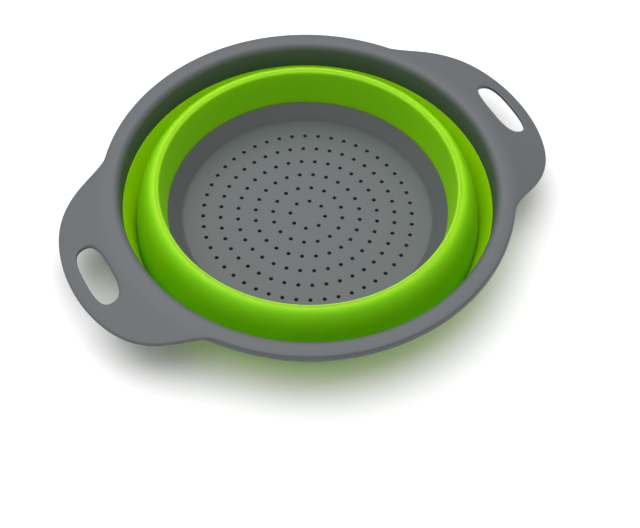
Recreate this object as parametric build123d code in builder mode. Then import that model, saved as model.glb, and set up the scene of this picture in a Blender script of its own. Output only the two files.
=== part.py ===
from build123d import *
import os
from math import radians, sin, sqrt, tan

# A round folding colander, 240 mm across and 297 mm over its two handles.
# It is folded flat here, as stored: a grey rim with handles, a soft green wall that
# doubles back on itself twice, and a grey perforated base inside it.
# Heights are above the table that it lies on folded, +X runs along the handles.

# Rim
rim_radius = 120.0
rim_height = 34.7
flange_thickness = 2.6
flange_inner_radius = 109.0
flange_inner_round = 4.5
lip_height = 4.9
lip_thickness = 2.3
lip_edge_round = 1.6
lip_foot_round = 0.8
wall_underside_radius = 111.4
wall_root_round = 1.0
seam_inner = (107.9, 18.4)
seam_outer = (109.9, 16.8)
tongue_depth = 3.0
tongue_lean = 1.9
tongue_thickness = 0.9
soft_cover = 0.6

# Handles
handle_reach = 148.4
handle_thickness = 3.0
handle_edge_round = 1.2
handle_root_angle = 40.0
handle_root_inset = 0.8
handle_overlap = 0.3
droop_start_radius = 113.5
droop_bend_radius = 31.0
droop_angle = 18.5
slot_radius = 132.8
slot_length = 41.0
slot_width = 15.0
slot_shoulder = (6.2, 14.8)
slot_corner_round = 4.0

# Soft wall: it runs down from the rim, turns up at the fold, over the crest and down to the base
crease = (101.2, 2.0)
fold_foot_outer = 100.9
fold_foot_inner = 99.4
fold_foot_round = 1.0
ridge_lean = 4.0
ridge_foot_pull = 20.0
ridge_top_pull = 6.0
crest_radius = 88.0
crest_height = 35.2
crest_thickness = 1.7
crest_inner_round = 1.9
inner_face_top = (85.6, 31.0)
skirt_top = (87.4, 31.0)
skirt_radius = 85.4

# Where the soft wall is cut into its three stretches
trough_floor_radius = 101.5
fold_clear_radius = 98.0
fold_leg_top = 4.2
crest_clear_radius = 90.0
crest_leg_foot = 31.0
part_line_gap = 0.2

# Base dish
disc_radius = 74.8
disc_height = 4.2
disc_edge_round = 3.0
dish_thickness = 2.0
dish_mouth = (82.3, 12.1)
flank_drop = 2.7
foot_wall_thickness = 1.6
foot_height = 1.0
hole_pitch = 10.32
hole_diameter = 2.2
hole_rings = 6
holes_in_first_ring = 8
first_hole_angle = 10.4

# Room that the cutting bodies take beyond what they cut
cut_margin = 4.0

foot_wall_radius = dish_mouth[0] + foot_wall_thickness
underside_height = disc_height - dish_thickness
droop_end_radius = droop_start_radius + droop_bend_radius * sin(radians(droop_angle))


def at_height(low, high, height):
    """Point, at a height, on the straight wall line through two (radius, height) points."""
    share = (height - low[1]) / (high[1] - low[1])
    return (low[0] + (high[0] - low[0]) * share, height)


def on_droop(radius):
    """Point of the rim's top surface at a radius: level, then bent down, then conical."""
    slope = tan(radians(droop_angle))
    run = min(max(radius - droop_start_radius, 0), droop_end_radius - droop_start_radius)
    bend_drop = droop_bend_radius - sqrt(droop_bend_radius**2 - run**2)
    return Vector(radius, rim_height - bend_drop - slope * max(radius - droop_end_radius, 0))


def round_corner(section, point, radius):
    """Round the section's corner nearest to a (radius, height) point."""
    fillet(section.vertices().sort_by_distance(point)[0], radius)


# Rim frame: a flange with a turned-down lip, on a short wall that ends in a tongue
with BuildPart() as rim_frame:
    flange_underside = rim_height - flange_thickness
    lip_bottom = rim_height - lip_height
    lip_inner = rim_radius - lip_thickness
    tongue_top = (seam_inner[0] + soft_cover, seam_inner[1])
    tongue_foot = (tongue_top[0] - tongue_lean, seam_outer[1] - tongue_depth)
    tongue_heel = (tongue_foot[0] + tongue_thickness, tongue_foot[1])
    tongue_shoulder = (seam_outer[0] - soft_cover, seam_outer[1])
    with BuildSketch(Plane.XZ) as rim_section:
        with BuildLine():
            ThreePointArc(
                on_droop(droop_start_radius),
                on_droop((droop_start_radius + rim_radius) / 2),
                on_droop(rim_radius),
            )
            Polyline(
                on_droop(droop_start_radius),
                (flange_inner_radius, rim_height),
                seam_inner,
                tongue_top,
                tongue_foot,
                tongue_heel,
                tongue_shoulder,
                seam_outer,
                (wall_underside_radius, flange_underside),
                (lip_inner, flange_underside),
                (lip_inner, lip_bottom),
                (rim_radius, lip_bottom),
                on_droop(rim_radius),
            )
        make_face()
        round_corner(rim_section, (flange_inner_radius, rim_height), flange_inner_round)
        round_corner(rim_section, on_droop(rim_radius), lip_edge_round)
        round_corner(rim_section, (rim_radius, lip_bottom), lip_foot_round)
        round_corner(rim_section, (lip_inner, flange_underside), lip_foot_round)
        round_corner(rim_section, (wall_underside_radius, flange_underside), wall_root_round)
    revolve(axis=Axis.Z)

# Handle: a conical plate that droops outwards, cut to the outline, slotted for the fingers
with BuildPart() as handle_plate:
    plate_start = lip_inner + handle_overlap
    plate_end = handle_reach + cut_margin
    plate_drop = Vector(0, -handle_thickness)
    with BuildSketch(Plane.XZ):
        with BuildLine():
            top_bend = ThreePointArc(
                on_droop(plate_start),
                on_droop((plate_start + droop_end_radius) / 2),
                on_droop(droop_end_radius),
            )
            Polyline(
                top_bend @ 1,
                on_droop(plate_end),
                on_droop(plate_end) + plate_drop,
                top_bend @ 1 + plate_drop,
                top_bend @ 0 + plate_drop,
                top_bend @ 0,
            )
        make_face()
    revolve(axis=Axis.Z)

    root_radius = rim_radius - handle_root_inset
    root_direction = Vector(0, 1).rotate(Axis.Z, handle_root_angle)
    handle_root = Vector(root_radius, 0).rotate(Axis.Z, handle_root_angle)
    with BuildSketch(Plane.XY):
        with BuildLine():
            Spline(
                (handle_reach, 0),
                (143.5, 30.0),
                (134.0, 47.6),
                (118.7, 59.8),
                (103.5, 66.7),
                handle_root,
                tangents=((0, 1), root_direction),
            )
            Polyline(handle_root, (0, handle_root.Y), (0, 0))
            mirror(about=Plane.XZ)
        make_face()
    extrude(amount=rim_height + cut_margin, mode=Mode.INTERSECT)

    with BuildSketch(Plane.XY.move(Location((slot_radius, 0, 0)))) as slots:
        with BuildLine():
            shoulder_x, shoulder_y = slot_shoulder
            ThreePointArc((shoulder_x, -shoulder_y), (slot_width / 2, 0), slot_shoulder)
            ThreePointArc((-shoulder_x, -shoulder_y), (-slot_width / 2, 0), (-shoulder_x, shoulder_y))
            ThreePointArc(slot_shoulder, (0, slot_length / 2), (-shoulder_x, shoulder_y))
            ThreePointArc((shoulder_x, -shoulder_y), (0, -slot_length / 2), (-shoulder_x, -shoulder_y))
        make_face()
        fillet(slots.vertices(), slot_corner_round)
    extrude(amount=rim_height + cut_margin, mode=Mode.SUBTRACT)

    outline_edges = handle_plate.edges().filter_by(
        lambda edge: Vector(edge.center().X, edge.center().Y).length > rim_radius + 0.5
        and abs(edge.tangent_at(0.5).Z) < 0.7
    )
    fillet(outline_edges, handle_edge_round)

# The rim's two sides are alike, so the half with the handle is kept and mirrored
with rim_frame:
    add(handle_plate.part)
    split(bisect_by=Plane.YZ)
    mirror(about=Plane.YZ)

# The soft wall's section, drawn whole
with BuildSketch(Plane.XZ) as soft_section:
    with BuildLine():
        lean = Vector(0, 1).rotate(Axis.Z, ridge_lean)
        roll = Vector(ridge_top_pull, 0)
        fold_inside = Vector(fold_foot_inner, 0)
        crest_outside = Vector(crest_radius, crest_height)
        crest_inside = Vector(crest_radius, crest_height - crest_thickness)
        crest_edge = at_height(dish_mouth, inner_face_top, crest_height)
        Bezier(crease, Vector(crease) + lean * ridge_foot_pull, crest_outside + roll, crest_outside)
        Polyline(
            crest_outside,
            crest_edge,
            dish_mouth,
            (foot_wall_radius, dish_mouth[1]),
            (foot_wall_radius, underside_height),
            (dish_mouth[0], underside_height),
            (dish_mouth[0], foot_height),
            (skirt_radius, foot_height),
            skirt_top,
            crest_inside,
        )
        Bezier(crest_inside, crest_inside + roll, fold_inside + lean * ridge_foot_pull, fold_inside)
        Polyline(
            fold_inside,
            (fold_foot_outer, 0),
            seam_outer,
            tongue_shoulder,
            tongue_heel,
            tongue_foot,
            tongue_top,
            seam_inner,
            crease,
        )
    make_face()
    round_corner(soft_section, crest_edge, crest_inner_round)
    round_corner(soft_section, (fold_foot_outer, 0), fold_foot_round)

# Upper wall: the stretch that hangs from the rim, and the fold at its foot
with BuildPart() as upper_wall:
    with BuildSketch(Plane.XZ):
        add(soft_section.sketch_local)
        Rectangle(fold_clear_radius, crest_height, align=Align.MIN, mode=Mode.SUBTRACT)
        with Locations((0, fold_leg_top)):
            Rectangle(trough_floor_radius, crest_height, align=Align.MIN, mode=Mode.SUBTRACT)
    revolve(axis=Axis.Z)

# Middle wall: the stretch that turns inside out between the fold and the crest
with BuildPart() as middle_wall:
    with BuildSketch(Plane.XZ):
        add(soft_section.sketch_local)
        with Locations((crest_clear_radius, fold_leg_top)):
            Rectangle(
                trough_floor_radius - crest_clear_radius,
                crest_leg_foot - part_line_gap - fold_leg_top,
                align=Align.MIN,
                mode=Mode.INTERSECT,
            )
    revolve(axis=Axis.Z)

# Lower wall: the rounded crest, the inner face of the ridge and the skirt round the base
with BuildPart() as lower_wall:
    with BuildSketch(Plane.XZ):
        add(soft_section.sketch_local)
        with Locations((crest_clear_radius, 0)):
            Rectangle(
                rim_radius - crest_clear_radius,
                crest_leg_foot,
                align=Align.MIN,
                mode=Mode.SUBTRACT,
            )
    revolve(axis=Axis.Z)

# Strainer base: a flat perforated disc with a flared flank and a foot wall inside the skirt
with BuildPart() as strainer_base:
    flank_slope = (dish_mouth[1] - disc_height) / (dish_mouth[0] - disc_radius)
    flank_low_radius = disc_radius + flank_drop - dish_thickness / flank_slope
    with BuildSketch(Plane.XZ) as dish_section:
        with BuildLine():
            Polyline(
                (0, disc_height),
                (disc_radius, disc_height),
                dish_mouth,
                (foot_wall_radius, dish_mouth[1]),
                (foot_wall_radius, underside_height),
                (dish_mouth[0], underside_height),
                (dish_mouth[0], dish_mouth[1] - flank_drop),
                (flank_low_radius, underside_height),
                (0, underside_height),
                close=True,
            )
        make_face()
        round_corner(dish_section, (disc_radius, disc_height), disc_edge_round)
    revolve(axis=Axis.Z)
    with BuildSketch(Plane.XY.offset(underside_height)):
        for ring in range(1, hole_rings + 1):
            with PolarLocations(ring * hole_pitch, ring * holes_in_first_ring, start_angle=first_hole_angle):
                Circle(hole_diameter / 2)
    extrude(amount=dish_thickness, mode=Mode.SUBTRACT)

os.makedirs("parts", exist_ok=True)
for name, piece in {
    "rim_frame": rim_frame,
    "upper_wall": upper_wall,
    "middle_wall": middle_wall,
    "lower_wall": lower_wall,
    "strainer_base": strainer_base,
}.items():
    piece.part.label = name
    export_step(piece.part, f"parts/{name}.step")
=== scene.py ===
from math import atan2, ceil, cos, pi, radians, sin, sqrt, tan

import bmesh
import bpy
import numpy as np
from mathutils import Matrix, Vector
from mathutils.geometry import interpolate_bezier


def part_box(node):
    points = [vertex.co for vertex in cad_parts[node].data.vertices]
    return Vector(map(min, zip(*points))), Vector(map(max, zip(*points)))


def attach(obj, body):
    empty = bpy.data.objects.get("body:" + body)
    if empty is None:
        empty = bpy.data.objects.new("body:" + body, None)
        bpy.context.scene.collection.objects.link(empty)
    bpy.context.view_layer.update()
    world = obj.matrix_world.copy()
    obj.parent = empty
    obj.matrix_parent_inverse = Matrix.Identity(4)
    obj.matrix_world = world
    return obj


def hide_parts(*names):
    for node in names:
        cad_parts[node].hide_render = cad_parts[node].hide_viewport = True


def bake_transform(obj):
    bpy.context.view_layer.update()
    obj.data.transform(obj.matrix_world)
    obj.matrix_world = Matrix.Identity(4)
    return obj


# A round folding colander, folded flat on a pale floor: a rim frame with two slotted handles and a
# perforated base, both moulded in grey polypropylene, joined by a soft wall of green rubber.
# Sections are (radius, height) points in metres; +X runs along the handles.

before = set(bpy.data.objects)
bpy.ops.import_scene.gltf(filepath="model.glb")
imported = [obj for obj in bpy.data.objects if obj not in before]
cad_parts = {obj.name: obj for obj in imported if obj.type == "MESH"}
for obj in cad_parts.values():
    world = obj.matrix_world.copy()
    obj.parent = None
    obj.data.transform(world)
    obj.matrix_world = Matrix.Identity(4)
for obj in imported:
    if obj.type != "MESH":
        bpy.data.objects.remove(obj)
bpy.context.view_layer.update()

# ---------------------------------------------------------------- sizes read from the frame

rim_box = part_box("rim_frame")
rim_radius = rim_box[1].y
rim_height = rim_box[1].z
handle_reach = rim_box[1].x

upper_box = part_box("upper_wall")
seam_outer_radius = upper_box[1].x

crest_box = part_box("lower_wall")
crest_height = crest_box[1].z
foot_height = crest_box[0].z

base_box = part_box("strainer_base")
foot_wall_radius = base_box[1].x
mouth_height = base_box[1].z
underside_height = base_box[0].z

# ---------------------------------------------------------------- sizes of the finer shape

# How finely the meshes are divided, and the slow drift of gloss over the mouldings
FACE_LENGTH = 0.0028
RIDGE_FACE_LENGTH = 0.0012
RIDGE_STEPS = 32
ROUND_STEPS = 6
TURN_SEGMENTS = 240
DISC_SEGMENTS = 192
RIM_COLUMNS = 360
MERGE_DISTANCE = 1e-6
SHARP_ANGLE = radians(38)
DRIFT_MM = 45

fine_round = 0.0003

flange_thickness = 0.0026
flange_inner = (0.1090, 0.0045)
lip_height = 0.0049
lip_thickness = 0.0023
lip_edge_round = 0.0016
lip_foot_round = 0.0008
wall_underside_radius = 0.1114
wall_root_round = 0.0010
wall_row_heights = (0.0265, 0.0220)
seam_inner = (0.1079, 0.0184)
seam_outer = (seam_outer_radius, 0.0168)
seam_round = 0.00035

handle_outline = [(0.1435, 0.0300), (0.1340, 0.0476), (0.1187, 0.0598), (0.1035, 0.0667)]
handle_root_angle = radians(40)
handle_root_radius = rim_radius - 0.0008
handle_thickness = 0.0030
handle_edge_round = 0.0012
root_blend = 0.008
# Room that an edge round takes from the row beside it, in rounds, on top and underneath
top_edge_room = 1.3
under_edge_room = 1.9
# Share of a short overhang that its lower edge round may take
thin_edge_share = 0.7
top_rows_start = 0.1155
droop_start = 0.1135
droop_bend = 0.031
droop_angle = radians(18.5)
slot_radius = 0.1328
slot_half_width = 0.0075
slot_half_length = 0.0205
slot_squareness = 2.8

crease = (0.1012, 0.0020)
fold_foot_outer = 0.1009
fold_foot_inner = 0.0994
fold_foot_rounds = (0.0007, 0.0006)
fold_split_height = 0.0008
ridge_lean = radians(4)
ridge_pulls = (0.0200, 0.0060)
crest_split = 0.0880
crest_inner_round = 0.0019
crest_thickness = 0.0017
inner_face_top = (0.0856, 0.0310)
skirt_top = (0.0874, 0.0310)
skirt_top_round = 0.0010
skirt_radius = 0.0854
skirt_foot_round = 0.0004
# Heights at which painted light starts on the rubber: painted highlight, yellower, near the crest and at the
# fold, a painted reflection low on the inner face, and painted shade, a deeper green, between
crest_highlight_height = 0.0330
face_reflection_height = 0.0200
fold_highlight_height = 0.0060

disc_radius = 0.0748
disc_height = 0.0042
mouth_radius = 0.0823
flank_drop = 0.0027
flank_low_offset = 0.0009
flank_under_round = 0.0006
groove_depth = 0.00035
groove_width = 0.0004
groove_offset = 0.0002
groove_round = 0.0002
hole_pitch = 0.01032
hole_radius = 0.0011
hole_edge_round = 0.0003
hole_rings = 6
holes_in_first_ring = 8
hole_edge_steps = 3
hole_cell_share = 0.55
hole_side_points = 6
first_hole_angle = radians(10.4)


# ---------------------------------------------------------------- sections and meshes

def at_height(low, high, height):
    """Point, at a height, on the line through two (radius, height) points."""
    share = (height - low[1]) / (high[1] - low[1])
    return (low[0] + (high[0] - low[0]) * share, height)


def rounded(corners, steps=ROUND_STEPS):
    """Closed section whose corners, (radius, height, round), become arcs where their round isn't zero."""
    points = []
    for index, (radius, height, size) in enumerate(corners):
        here = Vector((radius, height))
        if size == 0:
            points.append(here)
            continue
        before = (Vector(corners[index - 1][:2]) - here).normalized()
        after = (Vector(corners[(index + 1) % len(corners)][:2]) - here).normalized()
        half_angle = before.angle(after) / 2
        centre = here + (before + after).normalized() * size / sin(half_angle)
        first = here + before * size / tan(half_angle) - centre
        last = here + after * size / tan(half_angle) - centre
        points += [centre + size * first.slerp(last, step / steps) for step in range(steps + 1)]
    return points


def divided(section, longest=FACE_LENGTH):
    """The closed section with its long straight runs cut into equal lengths."""
    points = []
    for here, following in zip(section, section[1:] + section[:1]):
        here, following = Vector(here), Vector(following)
        pieces = max(1, ceil((following - here).length / longest))
        points += [here.lerp(following, step / pieces) for step in range(pieces)]
    return points


def new_piece(name, vertices, faces, material):
    """Object with smooth shading, from vertices and faces, once points that coincide are merged."""
    mesh = bpy.data.meshes.new(name)
    shape = bmesh.new()
    corners = [shape.verts.new(vertex) for vertex in vertices]
    for face in faces:
        shape.faces.new([corners[index] for index in face])
    bmesh.ops.remove_doubles(shape, verts=shape.verts, dist=MERGE_DISTANCE)
    bmesh.ops.delete(shape, geom=[v for v in shape.verts if not v.link_faces], context="VERTS")
    bmesh.ops.recalc_face_normals(shape, faces=shape.faces)
    shape.to_mesh(mesh)
    shape.free()
    mesh.shade_smooth()
    mesh.set_sharp_from_angle(angle=SHARP_ANGLE)
    mesh.materials.append(material)
    piece = bpy.data.objects.new(name, mesh)
    bpy.context.scene.collection.objects.link(piece)
    return piece


def loop_faces(first, second, count, closed=True):
    """Quads between two loops of a count of vertices, given the index at which each loop starts."""
    last = count if closed else count - 1
    return [
        (first + i, first + (i + 1) % count, second + (i + 1) % count, second + i)
        for i in range(last)
    ]


def paint_light_by_height(piece, heights, painted_light_shares):
    """Give each point its painted light, from its height: 0 for the deep green of painted shade, to 1 for the
    yellow green of painted highlight.
    """
    point_heights = [vertex.co.z for vertex in piece.data.vertices]
    attribute = piece.data.attributes.new("painted_light", "FLOAT", "POINT")
    attribute.data.foreach_set("value", np.interp(point_heights, heights, painted_light_shares))


def turned(name, section, material, segments=TURN_SEGMENTS):
    """A closed section turned about the vertical axis."""
    vertices = []
    faces = []
    count = len(section)
    for turn in range(segments):
        angle = 2 * pi * turn / segments
        vertices += [(point[0] * cos(angle), point[0] * sin(angle), point[1]) for point in section]
        faces += loop_faces(turn * count, (turn + 1) % segments * count, count)
    return new_piece(name, vertices, faces, material)


# ---------------------------------------------------------------- materials

def linear(hex_colour):
    """Linear colour, with alpha, from an sRGB hex code."""
    channels = [int(hex_colour[i:i + 2], 16) / 255 for i in (1, 3, 5)]
    return [c / 12.92 if c <= 0.04045 else ((c + 0.055) / 1.055) ** 2.4 for c in channels] + [1.0]


def add_node(tree, kind, settings=None, links=None):
    """Add a node to a tree: settings are attributes or input values, links are input: output socket."""
    node = tree.nodes.new(kind)
    for name, value in (settings or {}).items():
        if isinstance(name, int) or name in node.inputs:
            node.inputs[name].default_value = value
        else:
            setattr(node, name, value)
    for name, socket in (links or {}).items():
        tree.links.new(node.inputs[name], socket)
    return node


def new_material(name, settings):
    """New material and its shader, with the shader's uniform values set."""
    material = bpy.data.materials.new(name)
    material.use_nodes = True
    shader = material.node_tree.nodes["Principled BSDF"]
    for socket, value in settings.items():
        shader.inputs[socket].default_value = value
    return material, shader


def mould_texture(tree, shader, grain_mm, depth_mm, roughness):
    """Fine grain of the mould's surface, with a slow drift of gloss. Gives back the drift, for the colour."""
    place = add_node(tree, "ShaderNodeTexCoord").outputs["Object"]
    grain_settings = {"Scale": 1000 / grain_mm, "Detail": 2.0, "Roughness": 0.55}
    grain = add_node(tree, "ShaderNodeTexNoise", grain_settings, {"Vector": place})
    bump_settings = {"Strength": 1.0, "Distance": depth_mm / 1000}
    bump = add_node(tree, "ShaderNodeBump", bump_settings, {"Height": grain.outputs["Fac"]})
    drift_settings = {"Scale": 1000 / DRIFT_MM, "Detail": 3.0}
    drift = add_node(tree, "ShaderNodeTexNoise", drift_settings, {"Vector": place}).outputs["Fac"]
    gloss_settings = {"From Min": 0.3, "From Max": 0.7, "To Min": roughness[0], "To Max": roughness[1]}
    gloss = add_node(tree, "ShaderNodeMapRange", gloss_settings, {"Value": drift})
    tree.links.new(shader.inputs["Roughness"], gloss.outputs["Result"])
    tree.links.new(shader.inputs["Normal"], bump.outputs["Normal"])
    return drift


def moulded_polypropylene():
    """Grey polypropylene from a spark-eroded mould: an even satin that lights up softly at its edges."""
    material, shader = new_material("moulded_polypropylene", {"IOR": 1.49})
    tree = material.node_tree
    # The grain of such a mould is about 0.1 mm; it is drawn at 0.5 mm, so that it shows.
    drift = mould_texture(tree, shader, grain_mm=0.5, depth_mm=0.012, roughness=(0.47, 0.53))
    grey = {"data_type": "RGBA", 6: linear("#585b5e"), 7: linear("#5e6164")}
    colour = add_node(tree, "ShaderNodeMix", grey, {0: drift})
    tree.links.new(shader.inputs["Base Color"], colour.outputs[2])
    return material


def moulded_thermoplastic_rubber():
    """Lime-green thermoplastic rubber: soft satin and translucent, so that it is a deep green where it is
    folded double and a lighter lime where light comes through one layer of it. Painted shade and painted
    highlight are also mixed into its colour by height."""
    material, shader = new_material(
        "moulded_thermoplastic_rubber",
        {
            "IOR": 1.42,
            "Subsurface Weight": 1.0,
            "Subsurface Radius": (1.4, 1.0, 0.1),
            "Subsurface Scale": 0.003,
        },
    )
    tree = material.node_tree
    # The mould is polished smoother than the grey one; its grain is drawn at 0.7 mm, so that it shows.
    drift = mould_texture(tree, shader, grain_mm=0.7, depth_mm=0.008, roughness=(0.46, 0.52))
    # Painted light: the colour is mixed by height from a deeper green, for painted shade, to a yellow green,
    # for painted highlight and reflection
    painted_light = add_node(tree, "ShaderNodeAttribute", {"attribute_name": "painted_light"}).outputs["Fac"]
    shaded_and_lit_greens = {"data_type": "RGBA", 6: linear("#84cc00"), 7: linear("#a8d800")}
    colour = add_node(tree, "ShaderNodeMix", shaded_and_lit_greens, {0: painted_light})
    cloud = {"data_type": "RGBA", "blend_type": "MULTIPLY", 0: 0.06}
    clouded = add_node(tree, "ShaderNodeMix", cloud, {6: colour.outputs[2], 7: drift})
    tree.links.new(shader.inputs["Base Color"], clouded.outputs[2])
    return material


def painted_floor():
    """Matt white studio board, which gives an even pale ground with no reflection of the object."""
    return new_material("matt_white_board", {"Roughness": 0.9, "Base Color": linear("#f2f2f2")})[0]


# ---------------------------------------------------------------- the rim frame

def on_droop(radius):
    """Height of the rim's top at a radius: level, then bent down, then conical."""
    bend_end = droop_bend * sin(droop_angle)
    run = max(radius - droop_start, 0)
    bent = min(run, bend_end)
    return rim_height - droop_bend + sqrt(droop_bend**2 - bent**2) - tan(droop_angle) * (run - bent)


def clamped_spline(places, values):
    """Smooth curve through values at given places, level at both ends, as a function of the place."""
    gaps = np.diff(places)
    rises = np.diff(values) / gaps
    count = len(places)
    matrix = np.eye(count)
    target = np.zeros(count)
    for i in range(1, count - 1):
        matrix[i, i - 1:i + 2] = gaps[i], 2 * (gaps[i - 1] + gaps[i]), gaps[i - 1]
        target[i] = 3 * (gaps[i] * rises[i - 1] + gaps[i - 1] * rises[i])
    slopes = np.linalg.solve(matrix, target)

    def curve(place):
        i = min(max(int(np.searchsorted(places, place)) - 1, 0), count - 2)
        t = (place - places[i]) / gaps[i]
        return float(
            values[i] * (1 + 2 * t) * (1 - t) ** 2
            + slopes[i] * gaps[i] * t * (1 - t) ** 2
            + values[i + 1] * t * t * (3 - 2 * t)
            + slopes[i + 1] * gaps[i] * t * t * (t - 1)
        )

    return curve


outline_angles = [0.0] + [atan2(y, x) for x, y in handle_outline] + [handle_root_angle]
outline_radii = [handle_reach] + [Vector(point).length for point in handle_outline] + [handle_root_radius]
outline_curve = clamped_spline(outline_angles, outline_radii)


def reach_at(angle):
    """Radius of the rim's outline, handles included, in a direction."""
    from_handle = abs((angle + pi / 2) % pi - pi / 2)
    if from_handle >= handle_root_angle:
        return rim_radius
    return max(rim_radius, outline_curve(from_handle))


TOP_ROWS = 16
UNDER_ROWS = 14


def evenly(first, last, steps):
    """Values from a first to a last one, in equal steps."""
    return [first + (last - first) * step / steps for step in range(steps + 1)]


def rim_section(reach):
    """Section of the rim that reaches out to a radius. Every reach gives the same number of points."""
    overhang = reach - rim_radius
    root_share = max(0, 1 - overhang / root_blend)
    top_round = handle_edge_round + (lip_edge_round - handle_edge_round) * root_share
    under_round = min(handle_edge_round, thin_edge_share * overhang)
    underside = on_droop(rim_radius) - handle_thickness
    flange_underside = rim_height - flange_thickness
    lip_bottom = rim_height - lip_height
    lip_inner = rim_radius - lip_thickness

    top_end = reach - top_edge_room * top_round
    top_rows = evenly(top_rows_start, top_end, TOP_ROWS)
    under_end = reach - under_edge_room * under_round
    under_rows = evenly(under_end, rim_radius, UNDER_ROWS)

    inner_part = rounded(
        [
            (*seam_inner, seam_round),
            (flange_inner[0], rim_height, flange_inner[1]),
            (droop_start, rim_height, 0),
            (rim_radius, 0, 0),
        ]
    )[:-1]
    top_part = [Vector((radius, on_droop(radius))) for radius in top_rows]
    edge_top = rounded(
        [(top_end, on_droop(top_end), 0), (reach, on_droop(reach), top_round), (reach, 0, 0)]
    )[1:-1]
    if overhang > 0:
        under_height = on_droop(reach) - handle_thickness
        under_start = (under_end, on_droop(under_end) - handle_thickness, 0)
        edge_under = rounded(
            [(reach, rim_height, 0), (reach, under_height, under_round), under_start]
        )[1:-1]
        under_part = [Vector((radius, on_droop(radius) - handle_thickness)) for radius in under_rows]
    else:
        edge_under = [Vector((rim_radius, underside))] * (ROUND_STEPS + 1)
        under_part = [Vector((rim_radius, underside))] * (UNDER_ROWS + 1)
    wall_line = (seam_outer, (wall_underside_radius, flange_underside))
    wall_rows = [(*at_height(*wall_line, height), 0) for height in wall_row_heights]
    lip_part = rounded(
        [
            (rim_radius, underside, 0),
            (rim_radius, lip_bottom, lip_foot_round),
            (lip_inner, lip_bottom, lip_foot_round),
            (lip_inner, flange_underside, lip_foot_round),
            (wall_underside_radius, flange_underside, wall_root_round),
            *wall_rows,
            (*seam_outer, seam_round),
        ]
    )[1:]
    rows = inner_part + top_part + edge_top + edge_under + under_part + lip_part
    top_first = len(inner_part)
    under_first = len(inner_part) + len(top_part) + len(edge_top) + len(edge_under)
    return rows, top_first, under_first


SLOT_COLUMNS = 13
SLOT_TOP_ROWS = (3, 15)
SLOT_UNDER_ROWS = (1, 13)
SLOT_LOOPS = 4


def slot_point(direction, outset):
    """Point of the finger slot's outline, widened by an outset, from the slot's centre in a direction."""
    across = abs(direction.x) / (slot_half_width + outset)
    along = abs(direction.y) / (slot_half_length + outset)
    return direction / (across**slot_squareness + along**slot_squareness) ** (1 / slot_squareness)


def block_edge(columns, rows):
    """Grid places, (column, row), once round the edge of a block of columns and rows, given in order."""
    return (
        [(column, rows[0]) for column in columns[:-1]]
        + [(columns[-1], row) for row in rows[:-1]]
        + [(column, rows[-1]) for column in columns[:0:-1]]
        + [(columns[0], row) for row in rows[:0:-1]]
    )


def slot_loops(top_edge, under_edge):
    """Loops, (plan points, depth), from the edge of a gap in the top, down through the finger slot, to the
    edge of the gap in the underside."""
    spokes = [point.normalized() for point in top_edge]
    wide = [slot_point(spoke, handle_edge_round) for spoke in spokes]
    bends = evenly(0, pi / 2, ROUND_STEPS)
    shares = [step / SLOT_LOOPS for step in range(1, SLOT_LOOPS)]
    loops = [([p.lerp(q, share) for p, q in zip(top_edge, wide)], 0.0) for share in shares]
    sides = []
    for bend in bends:
        outset = handle_edge_round * (1 - sin(bend))
        depth = handle_edge_round * (1 - cos(bend))
        sides.append(([slot_point(spoke, outset) for spoke in spokes], depth))
    loops += sides
    loops += [(points, handle_thickness - depth) for points, depth in sides[::-1]]
    loops += [([q.lerp(p, share) for p, q in zip(under_edge, wide)], handle_thickness) for share in shares]
    return loops


def cut_slot(vertices, faces, turn, top_edge, under_edge):
    """Join the edges of the two gaps, lists of vertex numbers, through a finger slot."""
    centre = Vector((slot_radius, 0))
    top_plan = [turn @ Vector(vertices[index][:2]) - centre for index in top_edge]
    under_plan = [turn @ Vector(vertices[index][:2]) - centre for index in under_edge]
    rings = [top_edge]
    for points, depth in slot_loops(top_plan, under_plan):
        first = len(vertices)
        for point in points:
            place = point + centre
            vertices.append((*(turn @ place), on_droop(place.length) - depth))
        rings.append(list(range(first, first + len(points))))
    rings.append(under_edge)
    for ring, following in zip(rings, rings[1:]):
        for i, vertex in enumerate(ring):
            after = (i + 1) % len(ring)
            faces.append((vertex, ring[after], following[after], following[i]))


def rim_frame_piece(material):
    """The rim, with its turned-down lip and its two drooping handles, as one grid with a ring of quads
    round each finger slot."""
    vertices = []
    for column in range(RIM_COLUMNS):
        angle = 2 * pi * column / RIM_COLUMNS
        rows, top_first, under_first = rim_section(reach_at(angle))
        vertices += [(point.x * cos(angle), point.x * sin(angle), point.y) for point in rows]
    count = len(rows)

    top_gap = (top_first + SLOT_TOP_ROWS[0], top_first + SLOT_TOP_ROWS[1])
    under_last = under_first + UNDER_ROWS
    under_gap = (under_last - SLOT_UNDER_ROWS[1], under_last - SLOT_UNDER_ROWS[0])
    faces = []
    for column in range(RIM_COLUMNS):
        beside_slot = (column + SLOT_COLUMNS) % (RIM_COLUMNS // 2) < 2 * SLOT_COLUMNS
        quads = loop_faces(column * count, (column + 1) % RIM_COLUMNS * count, count)
        for row, quad in enumerate(quads):
            in_gap = any(low <= row < high for low, high in (top_gap, under_gap))
            if not (beside_slot and in_gap):
                faces.append(quad)

    for side in (0, 1):
        middle = side * RIM_COLUMNS // 2
        across = range(middle - SLOT_COLUMNS, middle + SLOT_COLUMNS + 1)
        edges = []
        for outwards in (range(top_gap[0], top_gap[1] + 1), range(under_gap[1], under_gap[0] - 1, -1)):
            places = block_edge(across, outwards)
            edges.append([column % RIM_COLUMNS * count + row for column, row in places])
        cut_slot(vertices, faces, Matrix.Rotation(pi * side, 2), *edges)
    return new_piece("rim_frame_moulding", vertices, faces, material)


# ---------------------------------------------------------------- the soft wall

fold_split = at_height((fold_foot_outer, 0), seam_outer, fold_split_height)


def upper_wall_piece(material):
    """The soft wall from the rim's seam down to the fold."""
    section = rounded([(*seam_inner, seam_round), (*crease, 0), (*fold_split, 0), (*seam_outer, seam_round)])
    return turned("upper_soft_wall", divided(section), material)


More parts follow.
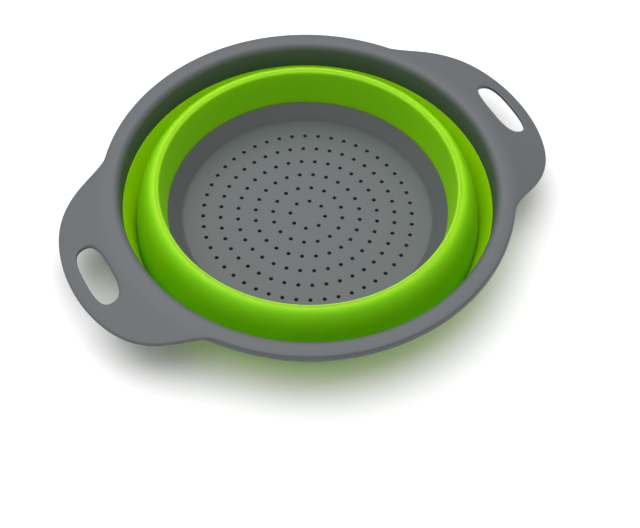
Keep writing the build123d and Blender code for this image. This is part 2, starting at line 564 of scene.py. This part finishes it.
def ridge_curve(foot, top):
    """Outline of the ridge's outer side: steep at its foot, then rolling over to level at its top."""
    foot, top = Vector(foot), Vector(top)
    foot_pull = foot + Vector((-sin(ridge_lean), cos(ridge_lean))) * ridge_pulls[0]
    top_pull = top + Vector((1, 0)) * ridge_pulls[1]
    knots = [point.to_3d() for point in (foot, foot_pull, top_pull, top)]
    return [Vector(point[:2]) for point in interpolate_bezier(*knots, RIDGE_STEPS)]


def middle_wall_piece(material):
    """The stretch that turns inside out: from the fold up the ridge's outer side to the top of the crest."""
    trough_side = ridge_curve(crease, (crest_split, crest_height))
    hidden_side = ridge_curve((fold_foot_inner, 0), (crest_split, crest_height - crest_thickness))
    foot = rounded(
        [
            (*hidden_side[1], 0),
            (fold_foot_inner, 0, fold_foot_rounds[0]),
            (fold_foot_outer, 0, fold_foot_rounds[1]),
            (*fold_split, 0),
        ]
    )
    section = trough_side + hidden_side[:0:-1] + foot[1:]
    return turned("middle_soft_wall", divided(section, RIDGE_FACE_LENGTH), material)


def lower_wall_piece(material):
    """The inner edge of the crest, the inner face of the ridge, and the skirt round the base."""
    section = rounded(
        [
            (crest_split, crest_height - crest_thickness, 0),
            (crest_split, crest_height, 0),
            (*at_height((mouth_radius, mouth_height), inner_face_top, crest_height), crest_inner_round),
            (mouth_radius, mouth_height, fine_round),
            (foot_wall_radius, mouth_height, 0),
            (foot_wall_radius, underside_height, 0),
            (mouth_radius, underside_height, 0),
            (mouth_radius, foot_height, skirt_foot_round),
            (skirt_radius, foot_height, skirt_foot_round),
            (*skirt_top, skirt_top_round),
        ]
    )
    return turned("lower_soft_wall", divided(section), material)


# ---------------------------------------------------------------- the strainer base

def hole_cell(ring, hole, sides):
    """Plan points once round the cell of the disc that holds one drain hole, and the hole's centre."""
    inner_count, outer_count, side_count = sides
    width = 2 * pi / (ring * holes_in_first_ring)
    middle = first_hole_angle + hole * width
    low = (ring - 0.5) * hole_pitch if ring > 1 else 0.0
    high = (ring + 0.5) * hole_pitch
    first, last = middle - width / 2, middle + width / 2
    rim = [(high, first + (last - first) * i / outer_count) for i in range(outer_count)]
    far = [(high + (low - high) * i / side_count, last) for i in range(side_count)]
    hub = [(low, last + (first - last) * i / inner_count) for i in range(inner_count)]
    near = [(low + (high - low) * i / side_count, first) for i in range(side_count)]
    points = [Vector((r * cos(a), r * sin(a))) for r, a in rim + far + hub + near]
    centre = Vector((cos(middle), sin(middle))) * ring * hole_pitch
    return points, centre


def hole_loops(cell, centre):
    """Loops, (plan points, depth), from a cell's edge on top, through its drain hole, to its edge below."""
    thickness = disc_height - underside_height
    spokes = [(point - centre).normalized() for point in cell]
    mouth = [centre + spoke * (hole_radius + hole_edge_round) for spoke in spokes]
    between = [p.lerp(q, hole_cell_share) for p, q in zip(cell, mouth)]
    half = [(cell, 0.0), (between, 0.0)]
    for bend in evenly(0, pi / 2, hole_edge_steps):
        radius = hole_radius + hole_edge_round * (1 - sin(bend))
        half.append(([centre + spoke * radius for spoke in spokes], hole_edge_round * (1 - cos(bend))))
    return half + [(points, thickness - depth) for points, depth in half[::-1]]


def disc_edge_section(field_radius):
    """Open section from the field of holes, over a fine groove and the flank, round the foot, and back."""
    flank_foot = disc_radius - groove_offset
    groove_height = disc_height - groove_depth
    section = rounded(
        [
            (field_radius, disc_height, 0),
            (flank_foot - 2 * groove_width, disc_height, fine_round),
            (flank_foot - groove_width, groove_height, groove_round),
            (flank_foot, groove_height, groove_round),
            (disc_radius + groove_offset, disc_height + groove_offset, 0),
            (mouth_radius, mouth_height, fine_round),
            (foot_wall_radius, mouth_height, fine_round),
            (foot_wall_radius, underside_height, fine_round),
            (mouth_radius, underside_height, fine_round),
            (mouth_radius, mouth_height - flank_drop, flank_under_round),
            (disc_radius + flank_low_offset, underside_height, flank_under_round),
            (field_radius, underside_height, 0),
        ],
        steps=4,
    )
    points = divided(section)
    return points[:points.index(section[-1]) + 1]


def strainer_base_piece(material):
    """The dish: a flat disc with rings of drain holes, a fine groove round it, a flared flank and a foot."""
    vertices = []
    faces = []
    for ring in range(1, hole_rings + 1):
        edge_steps = DISC_SEGMENTS // (hole_rings * holes_in_first_ring)
        outer = 2 * (ring + 1) if ring < hole_rings else edge_steps
        sides = (max(2 * (ring - 1), 1), outer, hole_side_points)
        for hole in range(ring * holes_in_first_ring):
            cell, centre = hole_cell(ring, hole, sides)
            loops = hole_loops(cell, centre)
            around = len(cell)
            start = len(vertices)
            for points, depth in loops:
                vertices += [(p.x, p.y, disc_height - depth) for p in points]
            for index in range(len(loops) - 1):
                faces += loop_faces(start + index * around, start + (index + 1) * around, around)

    edge = disc_edge_section((hole_rings + 0.5) * hole_pitch)
    count = len(edge)
    start = len(vertices)
    for turn in range(DISC_SEGMENTS):
        angle = first_hole_angle + 2 * pi * turn / DISC_SEGMENTS
        vertices += [(p[0] * cos(angle), p[0] * sin(angle), p[1]) for p in edge]
        following = start + (turn + 1) % DISC_SEGMENTS * count
        faces += loop_faces(start + turn * count, following, count, closed=False)
    return new_piece("strainer_base_moulding", vertices, faces, material)


# ---------------------------------------------------------------- pieces on the frame

grey = moulded_polypropylene()
green = moulded_thermoplastic_rubber()

rim_frame = rim_frame_piece(grey)
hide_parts("rim_frame")
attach(rim_frame, "rim")

# The soft wall's pieces get painted light by height: yellower at the fold, at the crest and low on the inner
# face, a deeper green for painted shade between
upper_wall = upper_wall_piece(green)
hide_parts("upper_wall")
paint_light_by_height(upper_wall, (crease[1], fold_highlight_height), (0.3, 1))
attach(upper_wall, "rim")

middle_wall = middle_wall_piece(green)
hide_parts("middle_wall")
paint_light_by_height(middle_wall, (crease[1], fold_highlight_height, crest_highlight_height, crest_height), (0.3, 0, 0, 0.5))
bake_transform(middle_wall)

lower_wall = lower_wall_piece(green)
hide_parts("lower_wall")
paint_light_by_height(lower_wall, (mouth_height, face_reflection_height, crest_highlight_height, crest_height), (0.35, 0.15, 0.15, 0.5))
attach(lower_wall, "base")

strainer_base = strainer_base_piece(grey)
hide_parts("strainer_base")
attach(strainer_base, "base")


# ---------------------------------------------------------------- floor, light and camera

def studio_floor():
    """Wide pale floor that the colander lies on."""
    mesh = bpy.data.meshes.new("studio_floor")
    half = 3.0
    corners = [(-half, -half, 0), (half, -half, 0), (half, half, 0), (-half, half, 0)]
    mesh.from_pydata(corners, [], [(0, 1, 2, 3)])
    mesh.materials.append(painted_floor())
    floor = bpy.data.objects.new("studio_floor", mesh)
    bpy.context.scene.collection.objects.link(floor)


def soft_light(name, place, target, size, power):
    """Square soft box that faces a target."""
    lamp = bpy.data.lights.new(name, "AREA")
    lamp.shape = "SQUARE"
    lamp.size = size
    lamp.energy = power
    light = bpy.data.objects.new(name, lamp)
    light.location = place
    light.rotation_euler = (Vector(target) - Vector(place)).to_track_quat("-Z", "Y").to_euler()
    bpy.context.scene.collection.objects.link(light)


def studio_camera(place, azimuth, elevation, roll, lens):
    """Camera that looks down at the colander: angles in radians, lens in millimetres."""
    back = Vector((sin(azimuth) * cos(elevation), -cos(azimuth) * cos(elevation), sin(elevation)))
    right = Vector((cos(azimuth), sin(azimuth), 0))
    up = back.cross(right)
    rolled_right = right * cos(roll) + up * sin(roll)
    rolled_up = up * cos(roll) - right * sin(roll)
    camera = bpy.data.objects.new("camera", bpy.data.cameras.new("camera"))
    camera.data.lens = lens
    camera.data.sensor_width = 36
    turned_axes = Matrix((rolled_right, rolled_up, back)).transposed()
    camera.matrix_world = Matrix.Translation(place) @ turned_axes.to_4x4()
    bpy.context.scene.collection.objects.link(camera)
    bpy.context.scene.camera = camera


studio_floor()
soft_light("top_light", place=(0.0, 0.35, 1.4), target=(0, 0, 0), size=2.2, power=26)

world = bpy.data.worlds.new("studio_air")
world.use_nodes = True
world.node_tree.nodes["Background"].inputs["Color"].default_value = linear("#ffffff")
world.node_tree.nodes["Background"].inputs["Strength"].default_value = 0.5
bpy.context.scene.world = world
bpy.context.scene.view_settings.view_transform = "Standard"
bpy.context.scene.view_settings.look = "Medium High Contrast"

studio_camera(
    place=(-0.2732, -0.4809, 0.7050),
    azimuth=radians(-30.46),
    elevation=radians(53.59),
    roll=radians(2.0),
    lens=84.67,
)
